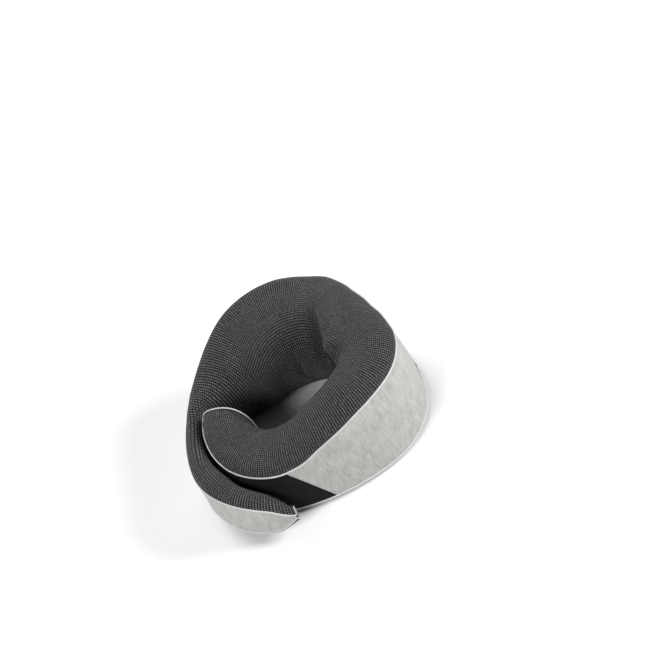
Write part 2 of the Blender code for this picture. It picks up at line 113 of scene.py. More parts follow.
# ------------------------------------------------------------------ shaping of the covers, mm
GATHER_A, GATHER_B = ((330, 0.0), (430, 1.0)), ((-483, 0.6), (-430, 0.0))   # share along the edge
SHOULDER_REACH = ((-25, 0.0), (15, 1.0), (95, 1.0), (135, 0.0))
SHOULDER_START, SHOULDER_AT, SHOULDER_SLANT = 54.0, 5.0, 0.38
SHOULDER_OUT, SHOULDER_ABOVE, SHOULDER_WIDTH = 4.0, 12.0, 15.0
SET_BACK, SET_BACK_BELOW, SET_BACK_WIDTHS = 13.0, 24.0, (17.0, 42.0)        # widths: above, below
FILLED_REACH = ((-405, 0.0), (-375, 1.0), (-262, 1.0), (-225, 0.0))
FILLED_RIDGES = ((5.2, 21.0, 11.0), (3.0, 42.0, 14.0))      # height, way from the rim, width
ROLLED_HEIGHT = ((-220, 0.0), (-190, 3.4), (-165, 5.8), (-140, 6.8), (-112, 6.8), (-85, 6.0),
                 (-65, 3.6), (-38, 0.0))
ROLLED_AT, ROLLED_WIDTH = 17.0, 12.0
RIM_FADE, BAND_FADE = 4.0, 12       # it dies out over 4 mm at a rim, a 12th of the band's height

# ------------------------------------------------------------------ panels, patches and zip, mm
PANEL_GAP, PANEL_THICK = 0.3, 1.4
LOOP_INSET, LOOP_TIP_GAP, LOOP_THICK = 1.7, 2.4, 1.2
LOOP_EDGE_PROUD, LOOP_CROWN, LOOP_ROUNDING = 0.75, 0.75, 2.2
LOOP_ROWS, LOOP_COLUMNS, LOOP_ROW_STEP = 100, 40, 1.9
HOOK_SPAN, HOOK_PROUD, HOOK_THICK = (0.33, 0.68), 1.9, 1.3  # span: share of the way round
TAPE_HALF, TAPE_THICK = NOTCH_HALF - 0.6, 1.2
TAPE_HEIGHTS = {"lower": (9.4, 14.9), "upper": (19.1, 24.6)}
HEM_LOW, HEM_HIGH, HEM_PROUD, HEM_THICK = 8.2, 12.9, 0.75, 0.9
COIL_PITCH, COIL_THREAD, COIL_POINTS = 1.7, 0.33, 12
STITCH_PITCH, STITCH_LENGTH, STITCH_RADIUS = 3.1, 2.4, 0.24
STITCH_ROWS = {"upper": (ZIP_HEIGHT + 6.2, 0.05), "lower": (10.6, 0.80)}    # height, how far proud
METAL_ROUNDING = 0.35
FOLD_ABOVE_ZIP = 4.4                            # the band is folded back this far above the coil


def profile(table, s):
    """Smooth values from a (distance, size) table, never overshooting its points."""
    x, y = (np.array(c, float) for c in zip(*table))
    step = np.diff(y) / np.diff(x)
    product, total = step[:-1] * step[1:], step[:-1] + step[1:]
    slope = np.zeros(len(x))
    slope[1:-1] = np.where(product > 0, 2 * product / np.where(product > 0, total, 1.0), 0.0)
    s = np.clip(np.asarray(s, float), x[0], x[-1])
    i = np.clip(np.searchsorted(x, s, side="right") - 1, 0, len(x) - 2)
    span = x[i + 1] - x[i]
    t = (s - x[i]) / span
    return ((2 * t ** 3 - 3 * t ** 2 + 1) * y[i] + (t ** 3 - 2 * t ** 2 + t) * slope[i] * span
            + (3 * t ** 2 - 2 * t ** 3) * y[i + 1] + (t ** 3 - t ** 2) * slope[i + 1] * span)


def edge(s):
    """x, y and heading of the outer edge."""
    s = np.asarray(s, float)
    x = np.full(s.shape, BACK_MIDDLE[0])
    y = np.full(s.shape, BACK_MIDDLE[1])
    heading = np.zeros(s.shape)
    for side, bends in ((1.0, ARM_A_BENDS), (-1.0, ARM_B_BENDS)):
        left = np.clip(side * s, 0.0, None)
        for length, radius in bends:
            go = np.minimum(left, length)
            turned = heading - side * go / radius
            x = x + radius * (np.sin(heading) - np.sin(turned))
            y = y - radius * (np.cos(heading) - np.cos(turned))
            heading, left = turned, left - go
        x, y = x + side * left * np.cos(heading), y + side * left * np.sin(heading)
    return x, y, heading


def place(s, depth, height, ahead=0.0):
    """Points, in metres, at a depth in from the edge; ahead shifts them along it."""
    s, depth, height = np.broadcast_arrays(np.asarray(s, float), depth, height)
    x, y, heading = edge(s)
    rise = np.clip((height - LEAN_FROM) / (LEAN_TO - LEAN_FROM), 0.0, None)
    depth = depth + profile(TOP_LEAN, s) * rise ** LEAN_POWER
    ax, ay = np.cos(heading), np.sin(heading)
    return np.stack([x + ay * depth + ax * ahead, y - ax * depth + ay * ahead, height], -1) * MM


def upper_rim(s):
    return profile(UPPER_RIM, s)


def lower_rim(s):
    return profile(UNDERSIDE, s) + LOWER_RIM_RISE


def bulge(s, height):
    low, high = lower_rim(s), upper_rim(s)
    share = np.clip((height - low) / (high - low), 0.0, 1.0)
    return profile(BAND_BULGE, s) * np.sin(math.pi * share ** 0.8)


def even(points, count, tuck=0.0):
    """A polyline resampled to evenly spaced points, its ends drawn in by tuck."""
    run = np.concatenate([[0.0], np.cumsum(np.hypot(*np.diff(points, axis=0).T))])
    at = np.linspace(tuck, run[-1] - tuck, count)
    return np.stack([np.interp(at, run, points[:, k]) for k in (0, 1)], -1), at


def inner_curve(s, slack=0.0, steps=40):
    """(depth, height) from the upper rim over the crown, down the inside and under."""
    top, low, floor = float(upper_rim(s)), float(lower_rim(s)), float(profile(UNDERSIDE, s))
    crown, depth = float(profile(CROWN, s)), float(profile(DEPTH, s)) - slack
    apex = CROWN_APEX * depth
    middle = floor + float(profile(INNER_MIDDLE, s)) * (top + crown - floor)
    under = min(UNDERSIDE_ROUND, 0.8 * apex)
    power = 2.0 / INNER_SQUARENESS
    a = np.linspace(0.0, math.pi / 2, steps)
    over = np.stack([apex - apex * np.cos(a), top + (crown - 0.5 * slack) * np.sin(a)], -1)
    down = np.stack([apex + (depth - apex) * np.sin(a) ** power,
                     middle + (top + crown - 0.5 * slack - middle) * np.cos(a) ** power], -1)
    back = a[::-1]
    foot = np.stack([apex + (depth - apex) * np.sin(back) ** power,
                     middle - (middle - floor) * np.cos(back) ** power], -1)
    heel = np.stack([under - under * np.cos(back), low - LOWER_RIM_RISE * np.sin(back)], -1)
    return np.concatenate([over, down[1:], foot[1:], heel])


def band_floor(s):
    """Lower edge of the outer band: folded back above the zip, or down at the lower piping."""
    over_zip = ZIP_HEIGHT + FOLD_ABOVE_ZIP
    by_rim = lower_rim(s) + EDGE_TUCK
    share = np.clip((NOTCH_HALF + 1.0 - np.abs(s)) / 3.0, 0.0, 1.0)
    return by_rim + (over_zip - by_rim) * share * share * (3 - 2 * share)


# ------------------------------------------------------------------ building the surface grids
def grids(slack):
    """Knit and band as grids of points, with the knit's run round the section."""
    knit, runs = [], []
    for s in STATIONS:
        section, at = even(inner_curve(s, slack), KNIT_COLUMNS, EDGE_TUCK)
        knit.append(place(s, section[:, 0], section[:, 1]))
        runs.append(at)
    share = np.linspace(0.0, 1.0, BAND_COLUMNS)[None, :]
    low, high = band_floor(STATIONS)[:, None], upper_rim(STATIONS)[:, None] - EDGE_TUCK
    height = low + (high - low) * share
    band = place(STATIONS[:, None], -bulge(STATIONS[:, None], height), height)
    return np.array(knit), band, np.array(runs)


def spread(first, last, step):
    count = max(1, round(abs(last - first) / step))
    return np.linspace(first, last, count + 1)


# stations fall exactly on every split, on both ends of the zip's notch, and near both tips
MARKS = (TIP_B + END_GAP, SPLIT_B, -NOTCH_HALF - 1.0, -NOTCH_HALF + 2.0, 0.0,
         NOTCH_HALF - 2.0, NOTCH_HALF + 1.0, SPLIT_A, TIP_A - END_GAP)
STATIONS = np.unique(np.concatenate([spread(a, b, STEP) for a, b in zip(MARKS, MARKS[1:])]))


def row_of(s):
    return int(np.argmin(np.abs(STATIONS - s)))


def swollen(knit, band):
    """The closed cover blown up by cloth simulation, its piped edges and ends held."""
    columns = KNIT_COLUMNS + BAND_COLUMNS
    rings = np.concatenate([knit, band], 1)
    count = len(rings)
    points = list(map(tuple, rings.reshape(-1, 3)))
    faces = []
    for r in range(count - 1):
        for k in range(columns):
            n = (k + 1) % columns
            faces.append((r * columns + k, r * columns + n, (r + 1) * columns + n,
                          (r + 1) * columns + k))
    for ring, flip in ((0, False), (count - 1, True)):
        hub = len(points)
        points.append(tuple(rings[ring].mean(0)))
        for k in range(columns):
            n = (k + 1) % columns
            pair = (ring * columns + k, ring * columns + n)
            faces.append((hub, pair[0], pair[1]) if flip else (hub, pair[1], pair[0]))
    mesh = bpy.data.meshes.new("blown")
    mesh.from_pydata(points, [], faces)
    obj = bpy.data.objects.new("blown", mesh)
    bpy.context.scene.collection.objects.link(obj)
    held = obj.vertex_groups.new(name="held")
    near_zip = np.abs(STATIONS) < NOTCH_HALF + 4
    pinned = []
    for r in range(count):
        for k in range(columns):
            rim = k in (0, KNIT_COLUMNS - 1, KNIT_COLUMNS, columns - 1)
            low_band = KNIT_COLUMNS <= k < KNIT_COLUMNS + 2 and near_zip[r]
            if rim or low_band or r in (0, count - 1):
                pinned.append(r * columns + k)
    held.add(pinned + [len(points) - 2, len(points) - 1], 1.0, "REPLACE")
    cloth = obj.modifiers.new("Cloth", "CLOTH")
    settings = cloth.settings
    settings.quality = 4
    settings.mass = 0.25
    settings.tension_stiffness = settings.compression_stiffness = 6.0
    settings.shear_stiffness = 2.5
    settings.bending_stiffness = 0.5
    settings.use_pressure = True
    settings.uniform_pressure_force = PRESSURE
    settings.vertex_group_mass = "held"
    settings.effector_weights.gravity = 0.0
    cloth.collision_settings.use_self_collision = False
    cloth.collision_settings.use_collision = False
    scene = bpy.context.scene
    scene.frame_start, scene.frame_end = 1, CLOTH_FRAMES
    cloth.point_cache.frame_start, cloth.point_cache.frame_end = 1, CLOTH_FRAMES
    for number in range(1, CLOTH_FRAMES + 1):
        scene.frame_set(number)
    depsgraph = bpy.context.evaluated_depsgraph_get()
    shaped = obj.evaluated_get(depsgraph)
    moved = np.empty(len(points) * 3)
    shaped.data.vertices.foreach_get("co", moved)
    moved = moved.reshape(-1, 3)[:count * columns].reshape(count, columns, 3)
    scene.frame_set(1)
    bpy.data.objects.remove(obj, do_unlink=True)
    shift = moved - rings
    reach = np.linalg.norm(shift, axis=-1, keepdims=True) / (SWELL_CAP * MM)
    shift = shift * np.tanh(reach) / np.maximum(reach, 1e-9)
    out = rings + shift
    return out[:, :KNIT_COLUMNS], out[:, KNIT_COLUMNS:]


def normals(grid):
    n = np.cross(np.gradient(grid, axis=0), np.gradient(grid, axis=1))
    return n / np.linalg.norm(n, axis=-1, keepdims=True)


def finer(grid, axis):
    """Twice as many intervals along one axis, on a smooth curve through the points."""
    g = np.moveaxis(grid, axis, 0)
    ends = np.concatenate([(2 * g[0] - g[1])[None], g, (2 * g[-1] - g[-2])[None]])
    middle = (9 * (ends[1:-2] + ends[2:-1]) - ends[:-3] - ends[3:]) / 16
    out = np.empty((2 * len(g) - 1,) + g.shape[1:])
    out[0::2], out[1::2] = g, middle
    return np.moveaxis(out, 0, axis)


def gauss(x, middle, width):
    return np.exp(-((x - middle) / width) ** 2)


def wander(s, wave, seed):
    """Smooth uneven ripple along the edge, about -1 to 1, with waves about that long."""
    rng = np.random.default_rng(seed)
    total = np.zeros_like(s)
    for _ in range(7):
        total = total + np.sin(2 * math.pi * s / (wave * rng.uniform(0.6, 1.7))
                               + rng.uniform(0, 2 * math.pi))
    return total / 3.0


knit, band, run = grids(SLACK)
outward_knit = 1.0 if (normals(knit)[row_of(0), 8] @ np.array([0, 0, 1])) > 0 else -1.0
outward_band = 1.0 if (normals(band)[row_of(0), 8] @ np.array([0, 1, 0])) > 0 else -1.0
knit, band = swollen(knit, band)
# where the thin end and arm A lie against each other, the covers keep their first form
snug_knit, snug_band, run = grids(0.0)
pressed = profile(THIN_END_PRESSED, STATIONS)[:, None] \
    * np.clip((run - PRESSED_FROM) / PRESSED_RAMP, 0.0, 1.0)
knit = knit + (snug_knit - knit) * pressed[..., None]
pressed = profile(ARM_A_PRESSED, STATIONS)[:, None, None]
band = band + (snug_band - band) * pressed

# finer grids for the final surfaces
for direction in (0, 1):
    knit = finer(knit, direction)
    band = finer(band, direction)
stations = finer(STATIONS, 0)
run = finer(finer(run, 0), 1)
band_height = band[..., 2] / MM

# soft gathers where the fabric is drawn into the piping
S = stations[:, None]
from_top, from_low = run, run[:, -1:] - run
tip_pull = profile(GATHER_A, S) + profile(GATHER_B, S)
gather = (0.16 + 0.5 * tip_pull) * wander(S, 16.0, 3) * np.exp(-from_top / (9.0 + 22 * tip_pull))
gather = gather + 0.22 * wander(S, 18.0, 4) * np.exp(-from_low / 9.0)
soft = 0.45 * wander(S, 85.0, 5) * np.sin(math.pi * from_top / run[:, -1:]) \
    * wander(from_top, 90.0, 6)
# the inner shoulder at the back: a full roll along a slanting line, the wall set back under it
roll = SHOULDER_START + SHOULDER_SLANT * (S - SHOULDER_AT)
below = from_top - roll - SET_BACK_BELOW
above_width, below_width = SET_BACK_WIDTHS
shoulder = profile(SHOULDER_REACH, S) \
    * (SHOULDER_OUT * gauss(from_top, roll - SHOULDER_ABOVE, SHOULDER_WIDTH)
       - SET_BACK * np.exp(-(below / np.where(below > 0, below_width, above_width)) ** 2))
# arm B fills out toward the tip of arm A tucked beside it
filled = profile(FILLED_REACH, S) \
    * sum(height * gauss(from_top, at, width) for height, at, width in FILLED_RIDGES)
# the crown at the back left rolls out over its piping
rolled = profile(ROLLED_HEIGHT, S) * gauss(from_top, ROLLED_AT, ROLLED_WIDTH)
fade = np.clip(from_top / RIM_FADE, 0, 1) * np.clip(from_low / RIM_FADE, 0, 1)
knit = knit + (normals(knit) * outward_knit
               * ((gather + soft + shoulder + filled + rolled) * fade * MM)[..., None])
knit[..., 2] = np.maximum(knit[..., 2], 0.0)      # the underside lies flat on the floor
share = np.linspace(0, 1, band.shape[1])[None, :]
ripple = 0.22 * wander(S, 26.0, 8) * np.exp(-(1 - share) * 9) \
    + 0.20 * wander(S, 22.0, 9) * np.exp(-share * 9) \
    + 0.35 * wander(S, 70.0, 10) * np.sin(math.pi * share) * wander(share * 100, 90.0, 11)
ripple = ripple * np.clip(share * BAND_FADE, 0, 1) * np.clip((1 - share) * BAND_FADE, 0, 1)
band = band + normals(band) * outward_band * (ripple * MM)[..., None]


# ------------------------------------------------------------------ where the knit's dashes sit
def drawn_together(grid):
    """Length along each line of the grid for a millimetre along the edge, evened out a little."""
    pieces = np.linalg.norm(np.gradient(grid, axis=0), axis=-1) / MM
    squeeze = pieces / np.gradient(stations)[:, None]
    padded = np.pad(squeeze, ((SQUEEZE_REACH, SQUEEZE_REACH), (0, 0)), mode="edge")
    return np.mean([padded[k:k + len(squeeze)] for k in range(2 * SQUEEZE_REACH + 1)], 0)


def row_number(across):
    """How many knit rows lie between the upper rim and a distance across the panel."""
    at = np.linspace(0.0, 400.0, 801)
    rows = np.concatenate([[0.0], np.cumsum(0.5 / profile(ROW_PITCH, at[:-1] + 0.25))])
    return np.interp(across, at, rows)


knit_values = {"along": np.broadcast_to(S, run.shape), "line": row_number(run),
               "squeeze": drawn_together(knit)}


# ------------------------------------------------------------------ materials
class Value:
    """A number inside a material, so that node maths reads like maths."""

    def __init__(self, tree, socket):
        self.tree, self.socket = tree, socket

    def op(self, operation, *others):
        node = self.tree.nodes.new("ShaderNodeMath")
        node.operation = operation
        for slot, item in zip(node.inputs, (self,) + others):
            if isinstance(item, Value):
                self.tree.links.new(item.socket, slot)
            else:
                slot.default_value = item
        return Value(self.tree, node.outputs[0])

    def __add__(self, other):
        return self.op("ADD", other)

    def __sub__(self, other):
        return self.op("SUBTRACT", other)

    def __mul__(self, other):
        return self.op("MULTIPLY", other)

    def __truediv__(self, other):
        return self.op("DIVIDE", other)

    __radd__, __rmul__ = __add__, __mul__

    def floor(self):
        return self.op("FLOOR")

    def wave(self, pitch, phase=0.0):
        """Cosine of that wavelength, from 0 to 1."""
        return (self * (2 * math.pi / pitch) + phase).op("COSINE") * 0.5 + 0.5

    def step(self, low, high):
        """Smooth rise from 0 at low to 1 at high; falls if low is above high."""
        node = self.tree.nodes.new("ShaderNodeMapRange")
        node.interpolation_type = "SMOOTHSTEP"
        self.tree.links.new(self.socket, node.inputs["Value"])
        start, end = (low, high) if low < high else (high, low)
        node.inputs["From Min"].default_value = start
        node.inputs["From Max"].default_value = end
        node.inputs["To Min"].default_value = 0.0 if low < high else 1.0
        node.inputs["To Max"].default_value = 1.0 if low < high else 0.0
        return Value(self.tree, node.outputs[0])


class Fabric:
    """One material being put together."""

    def __init__(self, name, roughness, **settings):
        self.material = bpy.data.materials.new(name)
        self.material.use_nodes = True
        self.tree = self.material.node_tree
        self.shader = self.tree.nodes["Principled BSDF"]
        self.shader.inputs["Roughness"].default_value = roughness
        self.shader.inputs["Specular IOR Level"].default_value = 0.3
        for key, value in settings.items():
            self.shader.inputs[key.replace("_", " ")].default_value = value

    def attribute(self, name):
        node = self.tree.nodes.new("ShaderNodeAttribute")
        node.attribute_name = name
        return Value(self.tree, node.outputs["Fac"])

    def noise(self, scale, detail=2.0, vector=None, rough=0.5):
        node = self.tree.nodes.new("ShaderNodeTexNoise")
        node.inputs["Scale"].default_value = scale
        node.inputs["Detail"].default_value = detail
        node.inputs["Roughness"].default_value = rough
        if vector is None:
            where = self.tree.nodes.new("ShaderNodeTexCoord").outputs["Object"]
        else:
            join = self.tree.nodes.new("ShaderNodeCombineXYZ")
            for slot, item in zip(join.inputs, vector):
                self.tree.links.new(item.socket, slot)
            where = join.outputs[0]
        self.tree.links.new(where, node.inputs["Vector"])
        return Value(self.tree, node.outputs["Fac"])

    def colour(self, share, stops):
        ramp = self.tree.nodes.new("ShaderNodeValToRGB")
        elements = ramp.color_ramp.elements
        while len(elements) < len(stops):
            elements.new(0.5)
        for element, (at, rgb) in zip(elements, stops):
            element.position = at
            element.color = (*rgb, 1.0)
        self.tree.links.new(share.socket, ramp.inputs[0])
        self.tree.links.new(ramp.outputs[0], self.shader.inputs["Base Color"])

    def relief(self, height, depth_mm):
        node = self.tree.nodes.new("ShaderNodeBump")
        node.inputs["Strength"].default_value = 1.0
        node.inputs["Distance"].default_value = depth_mm * MM
        self.tree.links.new(height.socket, node.inputs["Height"])
        self.tree.links.new(node.outputs[0], self.shader.inputs["Normal"])

    def rough(self, value):
        self.tree.links.new(value.socket, self.shader.inputs["Roughness"])


def knit_fabric():
    """Dark knit with lines of small pale dashes across the arm.

    Inside a bend the lines draw together, and every other one drops out.
    """
    f = Fabric("knit_fabric", 0.92, Sheen_Weight=0.06, Sheen_Roughness=0.5)
    line, along, squeeze = (f.attribute(n) for n in ("line", "along", "squeeze"))
    row = line.floor()
    off_row = line - row - 0.5
    scatter = ((row * 12.9898).op("SINE") * 437.585).op("FRACT")
    dropped = squeeze.op("MAXIMUM", 0.06).op("LOGARITHM", 2.0) * -1.0 - 0.40 + scatter * 0.30
    pitch = (dropped.floor().op("MAXIMUM", 0.0) * math.log(2.0)).op("EXPONENT") * DASH_PITCH
    uneven = f.noise(300.0, 2.0)
    dash = along / pitch + (uneven - 0.5) * 0.45
    off_dash = dash - dash.floor() - 0.5
    thread = off_row.op("ABSOLUTE").step(0.52, 0.18)
    fleck = thread * off_dash.op("ABSOLUTE").step(0.42, 0.12)
    fibre = f.noise(2600.0, 3.0)
    cloud = f.noise(38.0, 3.0)
    tone = fleck * (0.45 + 0.8 * uneven) + (fibre - 0.5) * 0.20 + (cloud - 0.5) * 0.14
    f.colour(tone, ((0.0, (0.005, 0.005, 0.0052)), (0.22, (0.010, 0.010, 0.0103)),
                    (0.60, (0.062, 0.062, 0.063)), (1.0, (0.17, 0.17, 0.172))))
    f.relief(thread * 0.45 + fleck * 0.55 + fibre * 0.25, 0.4)
    return f.material


def band_fabric():
    """Pale heathered jersey: fine upright wales and drawn-out darker fibres."""
    f = Fabric("band_fabric", 0.9, Sheen_Weight=0.15, Sheen_Roughness=0.45)
    across, along = f.attribute("across"), f.attribute("along")
    zero = across * 0.0
    streak = f.noise(1.0, 3.0, (along * 0.50, across * 0.060, zero))
    fleck = f.noise(1.0, 2.0, (along * 1.5, across * 0.30, zero + 7.0))
    cloud = f.noise(1.0, 3.0, (along * 0.10, across * 0.045, zero + 3.0))
    wale = along.wave(1.15)
    course = across.wave(0.95)
    fibre = f.noise(2400.0, 2.0)
    tone = (streak * 0.65 + fleck * 0.45 + cloud * 0.55 - 0.325
            + (wale - 0.5) * 0.10 + (fibre - 0.5) * 0.10)
    f.colour(tone, ((0.20, (0.248, 0.243, 0.231)), (0.40, (0.357, 0.350, 0.338)),
                    (0.58, (0.432, 0.424, 0.411)), (0.84, (0.530, 0.522, 0.510))))
    f.relief(wale * 0.5 + course * 0.25 + fibre * 0.45, 0.28)
    return f.material


def cord_cover(name, tones):
    """Piping: a cord in a tightly wrapped diagonal weave."""
    f = Fabric(name, 0.62, Sheen_Weight=0.2, Sheen_Roughness=0.4)
    across, along = f.attribute("across"), f.attribute("along")
    twist = (along + across * 0.9).wave(1.3)
    counter = (along - across * 0.9).wave(1.3)
    fibre = f.noise(2200.0, 2.0)
    soil = f.noise(60.0, 3.0)
    tone = twist * 0.30 + counter * 0.22 + fibre * 0.25 + soil * 0.22
    f.colour(tone, ((0.15, tones[0]), (0.75, tones[1])))
    f.relief(twist * 0.5 + counter * 0.5 + fibre * 0.3, 0.16)
    return f.material


def pile(name, tones, scale, depth, roughness=0.97):
    """Looped or hooked nap, even and dense."""
    f = Fabric(name, roughness, Sheen_Weight=0.02, Sheen_Roughness=0.6, Specular_IOR_Level=0.15)
    fuzz = f.noise(scale, 4.0, rough=0.7)
    brushed = f.noise(90.0, 3.0)
    f.colour(fuzz * 0.7 + brushed * 0.3, ((0.3, tones[0]), (0.7, tones[1])))
    f.relief(fuzz, depth)
    return f.material


def woven_tape():
    f = Fabric("zip_tape", 0.85, Sheen_Weight=0.1)
    across, along = f.attribute("across"), f.attribute("along")
    weave = along.wave(0.7) * across.wave(0.7)
    fibre = f.noise(2500.0, 2.0)
    f.colour(weave * 0.6 + fibre * 0.4, ((0.1, (0.26, 0.26, 0.265)), (0.8, (0.47, 0.47, 0.475))))
    f.relief(weave + fibre * 0.3, 0.2)
    return f.material


def smooth_stuff(name, tones, roughness, metallic):
    """Nylon or lacquered metal, with small unevenness and handling marks."""
    f = Fabric(name, roughness, Metallic=metallic)
    grain = f.noise(900.0, 3.0)
    worn = f.noise(120.0, 4.0)
    f.colour(grain * 0.4 + worn * 0.6, ((0.3, tones[0]), (0.7, tones[1])))
    f.rough(grain * 0.12 + worn * 0.16 + (roughness - 0.12))
    f.relief(grain, 0.03)
    return f.material


KNIT, BAND = knit_fabric(), band_fabric()
PIPING = cord_cover("piping_cord", ((0.38, 0.38, 0.375), (0.72, 0.72, 0.71)))
LOOP = pile("loop_pile", ((0.0015, 0.0015, 0.0016), (0.008, 0.008, 0.0084)), 1700.0, 0.5)
HOOK = pile("hook_tape", ((0.006, 0.006, 0.007), (0.030, 0.030, 0.032)), 900.0, 0.7, 0.6)
TAPE = woven_tape()
COIL = smooth_stuff("zip_nylon", ((0.33, 0.33, 0.335), (0.44, 0.44, 0.445)), 0.42, 0.0)
METAL = smooth_stuff("zip_lacquer", ((0.36, 0.36, 0.37), (0.50, 0.50, 0.51)), 0.34, 1.0)
THREAD = cord_cover("sewing_thread", ((0.50, 0.50, 0.50), (0.72, 0.72, 0.71)))


# ------------------------------------------------------------------ making the pieces
def add(name, points, faces, material, values=None, vertex_normals=None):
    mesh = bpy.data.meshes.new(name)
    mesh.from_pydata(points.reshape(-1, 3).tolist(), [], faces)
    mesh.materials.append(material)
    mesh.polygons.foreach_set("use_smooth", np.ones(len(mesh.polygons), bool))
    for key, data in (values or {}).items():
        layer = mesh.attributes.new(key, "FLOAT", "POINT")
        layer.data.foreach_set("value", np.asarray(data, np.float32).ravel())
    obj = bpy.data.objects.new(name, mesh)
    bpy.context.scene.collection.objects.link(obj)
    if vertex_normals is not None:
        mesh.normals_split_custom_set_from_vertices(vertex_normals.reshape(-1, 3).tolist())
    return obj


def shell(name, front, out, thick, material, values, outward):
    """Closed thin solid behind a grid of points, shaded by the whole surface's normals."""
    rows, columns = front.shape[:2]
    back = front - out * thick * MM
    number = np.arange(rows * columns).reshape(rows, columns)
    half = rows * columns
    quads = np.stack([number[:-1, :-1], number[1:, :-1], number[1:, 1:], number[:-1, 1:]], -1)
    quads = quads.reshape(-1, 4)
    if outward < 0:
        quads = quads[:, ::-1]
    inner = quads[:, ::-1] + half
    loop = np.concatenate([number[0], number[1:, -1], number[-1, -2::-1], number[-2:0:-1, 0]])
    nxt = np.roll(loop, -1)
    wall = np.stack([loop, nxt, nxt + half, loop + half], -1)
    if outward > 0:
        wall = wall[:, ::-1]
    faces = np.concatenate([quads, inner, wall[:, ::-1]]).tolist()
    points = np.stack([front, back])
    doubled = {k: np.stack([v, v]) for k, v in values.items()}
    return add(name, points, faces, material, doubled, np.stack([out, -out]))


def tube(name, line, radius, material, sides=12):
    """Round cord along a line of points; the radius is one number or one for each point."""
    line = np.asarray(line)
    radius = np.broadcast_to(np.asarray(radius, float), (len(line),))
    along = np.gradient(line, axis=0)
    along /= np.linalg.norm(along, axis=1, keepdims=True)
    up = np.zeros_like(line)
    up[0] = np.cross(along[0], (0.31, 0.17, 0.93))
    for i in range(len(line)):
        previous = up[i - 1] if i else up[0]
        up[i] = previous - along[i] * (previous @ along[i])
        up[i] /= np.linalg.norm(up[i])
    side = np.cross(along, up)
    turn = 2 * math.pi * np.arange(sides) / sides
    ring = (np.cos(turn)[None, :, None] * up[:, None] + np.sin(turn)[None, :, None] * side[:, None])
    points = line[:, None] + ring * radius[:, None, None] * MM
    run_mm = np.concatenate([[0], np.cumsum(np.linalg.norm(np.diff(line, axis=0), axis=1))]) / MM
    count = len(line)
    faces = []
    for r in range(count - 1):
        for k in range(sides):
            n = (k + 1) % sides
            faces.append((r * sides + k, r * sides + n, (r + 1) * sides + n, (r + 1) * sides + k))
    faces.append(tuple(range(sides))[::-1])
    faces.append(tuple((count - 1) * sides + k for k in range(sides)))
    across = turn[None, :] * radius[:, None]
    lengthways = np.broadcast_to(run_mm[:, None], (count, sides))
    return add(name, points, faces, material, {"along": lengthways, "across": across})


def joined(name, parts, material):
    """Several meshes made into one piece."""
    with bpy.context.temp_override(active_object=parts[0], selected_editable_objects=parts,
                                   selected_objects=parts):
        bpy.ops.object.join()
    parts[0].name = name
    parts[0].data.name = name
    return parts[0]


def rows_between(first, last):
    low, high = sorted((first, last))
    return np.where((stations >= low - 1e-6) & (stations <= high + 1e-6))[0]


# ------------------------------------------------------------------ where the cover bends
def away(s, reach, sign):
    """Point on the bend's own line, reach past the hinge in the direction away from the back."""
    x, y, heading = (float(v) for v in edge(s))
    hinge = place(s, -AXIS_CLEAR, 0.0)
    direction = np.array([math.cos(heading), math.sin(heading), 0.0]) * sign
    return tuple(hinge + direction * reach * MM), direction, hinge


def least_reach(split, s, sign):
    """How far past the hinge every point of the split's section lies."""
    point, direction, hinge = away(s, 0.0, sign)
    at = row_of(split) * 2
    ring = np.concatenate([knit[at], band[at]])
    return ((ring - hinge) @ direction) / MM


reach_a = float(least_reach(SPLIT_A, BEND_A, 1.0).min())
reach_b = float(least_reach(SPLIT_B, BEND_B, -1.0).min())
reach_peel = float(least_reach(SPLIT_B, PEEL_B, -1.0).max())
END_A, END_B = min(AFTER_BEND_A, reach_a - 1), min(AFTER_BEND_B, reach_b - 1)
START_PEEL = max(-BEFORE_PEEL, reach_peel + 1)
LAYERS = ("foam_", "inner_liner_")
# the stretches of the cover: (name, from, to, the body each rides or how it is blended)
STRETCHES = (
    ("a1", 0.0, SPLIT_A, ("back", "arm_a", away(BEND_A, -BEFORE_BEND, 1)[0],
                          away(BEND_A, END_A, 1)[0])),
    ("a2", SPLIT_A, STATIONS[-1], "arm_a"),
    ("b1", 0.0, SPLIT_B, ("back", "arm_b", away(BEND_B, -BEFORE_BEND, -1)[0],
                          away(BEND_B, END_B, -1)[0])),
    ("b2", SPLIT_B, STATIONS[0], ("arm_b", "end_b", away(PEEL_B, START_PEEL, -1)[0],
                                  away(PEEL_B, AFTER_PEEL, -1)[0])),
)
STANDS_FOR = {"a1": ("back",), "a2": ("arm_a",), "b1": ("arm_b",), "b2": ("end_b",)}
PIPING_NODES = {"a1": (("piping_top_back",), ("piping_bottom_back",)), "a2": (("piping_arm_a",),),
                "b1": (("piping_top_arm_b",), ("piping_bottom_arm_b",)),
                "b2": (("piping_end_b",),)}


def move(obj, how):
    if isinstance(how, str):
        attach(obj, how)
    else:
        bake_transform(obj)


knit_out = normals(knit) * outward_knit
band_out = normals(band) * outward_band
band_along = np.broadcast_to(stations[:, None], band.shape[:2])
for key, first, last, how in STRETCHES:
    rows = rows_between(first, last)
    piece = shell("knit_cover_" + key, knit[rows], knit_out[rows], COVER_THICK, KNIT,
                  {key: value[rows] for key, value in knit_values.items()}, outward_knit)
    move(piece, how)
    for part in STANDS_FOR[key]:
        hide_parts(*(layer + part for layer in LAYERS + ("knit_panel_",)))
    strip = shell("band_cover_" + key, band[rows], band_out[rows], COVER_THICK, BAND,
                  {"along": band_along[rows], "across": band_height[rows]}, outward_band)
    move(strip, how)
    for part in STANDS_FOR[key]:
        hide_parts("outer_band_" + part)


# piping: along both rims, and round each tip in one run
def rim_line(first, last, height):
    s = spread(first, last, 2.5)
    return place(s, 0.0, height(s))


